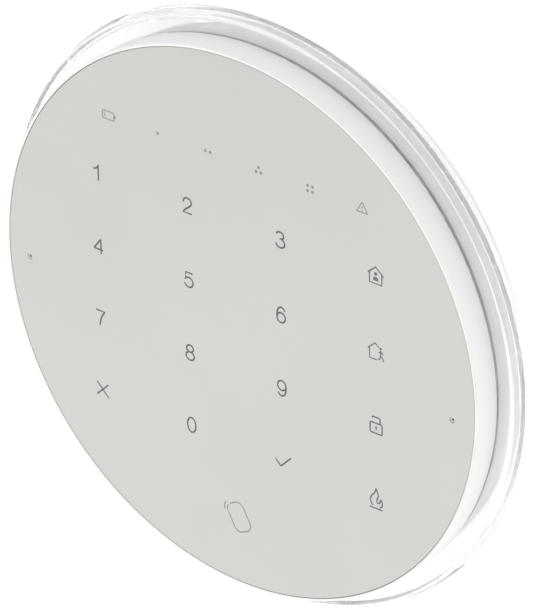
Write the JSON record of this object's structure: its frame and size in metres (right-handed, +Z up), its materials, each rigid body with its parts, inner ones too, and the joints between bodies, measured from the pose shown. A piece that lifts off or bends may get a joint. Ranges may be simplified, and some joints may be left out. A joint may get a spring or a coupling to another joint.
{
  "type": "alarm keypad panel",
  "caption": "Round wall-mounted alarm keypad with a flush touch panel, a clear skirt round its white casing, a tag reader and a twist-on wall plate.",
  "frame": {"origin": "centre of the wall plate's back face, which beds on the wall", "axes": "+X to the right as the keypad is read, +Y into the wall, +Z up the wall; the panel faces -Y"},
  "size_m": [0.1554, 0.023, 0.1554],
  "materials": {
    "housing_plastic": "fine moulded satin",
    "casing_plastic": "smooth satin gloss",
    "clear_plastic": "polished clear polycarbonate",
    "panel_plastic": "printed satin",
    "film_plastic": "film",
    "light_guide_plastic": "frosted translucent",
    "circuit_board": "solder resist",
    "led_resin": "moulded",
    "chip_resin": "moulded",
    "copper_track": "plated",
    "ferrite": "matt sheet",
    "tinned_steel": "tinned",
    "spring_steel": "drawn wire",
    "screw_steel": "zinc plated",
    "button_plastic": "moulded",
    "cell_sleeve": "printed sleeve, plain",
    "legend_ink": "screen-printed ink"
  },
  "bodies": {
    "wall_base": {"wall_plate": "housing_plastic"},
    "keypad": {"rear_housing": "housing_plastic", "front_casing": "casing_plastic", "clear_ring": "clear_plastic", "touch_panel": "panel_plastic", "touch_sensor_film": "film_plastic", "key_light_guides": "light_guide_plastic", "status_light_guides": "light_guide_plastic", "key_board": "circuit_board", "main_board": "circuit_board", "key_leds": "led_resin", "status_leds": "led_resin", "light_sensor": "chip_resin", "buzzer": "chip_resin", "controller_chip": "chip_resin", "radio_chip": "chip_resin", "tag_reader_chip": "chip_resin", "board_connector": "chip_resin", "tamper_switch": "chip_resin", "tamper_spring": "spring_steel", "pairing_switch": "chip_resin", "tag_coil": "copper_track", "tag_coil_ferrite": "ferrite", "radio_shield": "tinned_steel", "radio_antenna": "tinned_steel", "battery_contacts_positive": "tinned_steel", "battery_contacts_negative": "tinned_steel", "casing_screws": "screw_steel", "main_board_screws": "screw_steel", "battery_cell_1": "cell_sleeve", "battery_cell_2": "cell_sleeve", "battery_cell_3": "cell_sleeve", "battery_cell_4": "cell_sleeve"},
    "tamper": {"tamper_plunger": "button_plastic"},
    "pairing": {"pairing_button": "button_plastic"},
    "cover": {"battery_cover": "housing_plastic"}
  },
  "joints": [
    {"name": "keypad_twist", "type": "hinge", "parent": "wall_base", "child": "keypad", "pos_m": [0, 0, 0], "axis": [0, -1, 0], "range_deg": [0, 12]},
    {"name": "tamper_press", "type": "slide", "parent": "keypad", "child": "tamper", "axis": [0, -1, 0], "range_m": [0, 0.0016], "stiffness_N_per_m": 300, "deforming": ["tamper_spring"]},
    {"name": "pairing_press", "type": "slide", "parent": "keypad", "child": "pairing", "axis": [0, -1, 0], "range_m": [0, 0.0004], "stiffness_N_per_m": 800},
    {"name": "battery_cover_slide", "type": "slide", "parent": "keypad", "child": "cover", "axis": [0, 0, 1], "range_m": [0, 0.007]}
  ]
}
